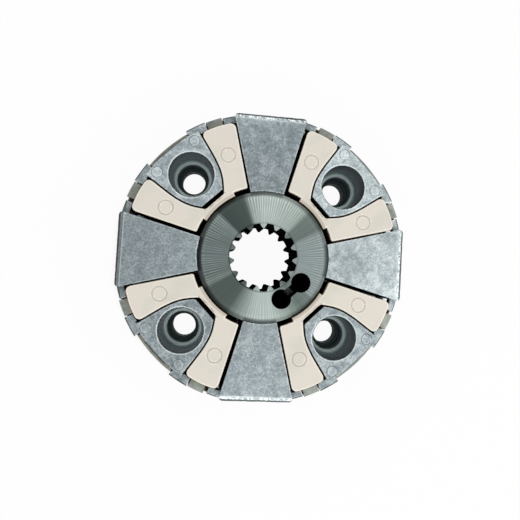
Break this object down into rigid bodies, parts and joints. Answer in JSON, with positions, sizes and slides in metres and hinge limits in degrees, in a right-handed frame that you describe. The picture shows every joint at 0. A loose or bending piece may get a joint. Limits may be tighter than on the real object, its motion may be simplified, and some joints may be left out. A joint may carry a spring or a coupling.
{
  "type": "hydraulic pump coupling",
  "caption": "Torsionally stiff shaft coupling for a hydraulic pump: splined steel hub with aluminium wings that drive aluminium bolt inserts through plastic cushions",
  "frame": {"origin": "On the shaft axis, at the back faces of the inserts, which bolt against the flywheel", "axes": "+Z along the shaft towards the pictured front; +X and +Y run through two neighbouring wings, and the inserts lie between them at 45 degrees"},
  "size_m": [0.2164, 0.2164, 0.0474],
  "materials": {
    "hub_steel": "turned, oiled, fine radial and circular tool marks",
    "fastener_steel": "black oxide, satin",
    "wing_casting": "die-cast and blasted, mottled, edges dressed bright",
    "insert_casting": "die-cast, mottled, machined recess",
    "cushion_polymer": "moulded cream plastic, satin"
  },
  "bodies": {
    "flange_side": {"bolt_insert_1": "insert_casting", "bolt_insert_2": "insert_casting", "bolt_insert_3": "insert_casting", "bolt_insert_4": "insert_casting", "cushion_1": "cushion_polymer", "cushion_2": "cushion_polymer", "cushion_3": "cushion_polymer", "cushion_4": "cushion_polymer"},
    "hub_side": {"hub": "hub_steel", "clamp_screw": "fastener_steel", "wing_1": "wing_casting", "wing_2": "wing_casting", "wing_3": "wing_casting", "wing_4": "wing_casting", "wing_screw_1": "fastener_steel", "wing_screw_2": "fastener_steel", "wing_screw_3": "fastener_steel", "wing_screw_4": "fastener_steel"}
  },
  "joints": [
    {"name": "hub_twist", "type": "hinge", "parent": "flange_side", "child": "hub_side", "pos_m": [0, 0, 0.0235], "axis": [0, 0, 1], "range_deg": [-1.3, 0.3]}
  ]
}
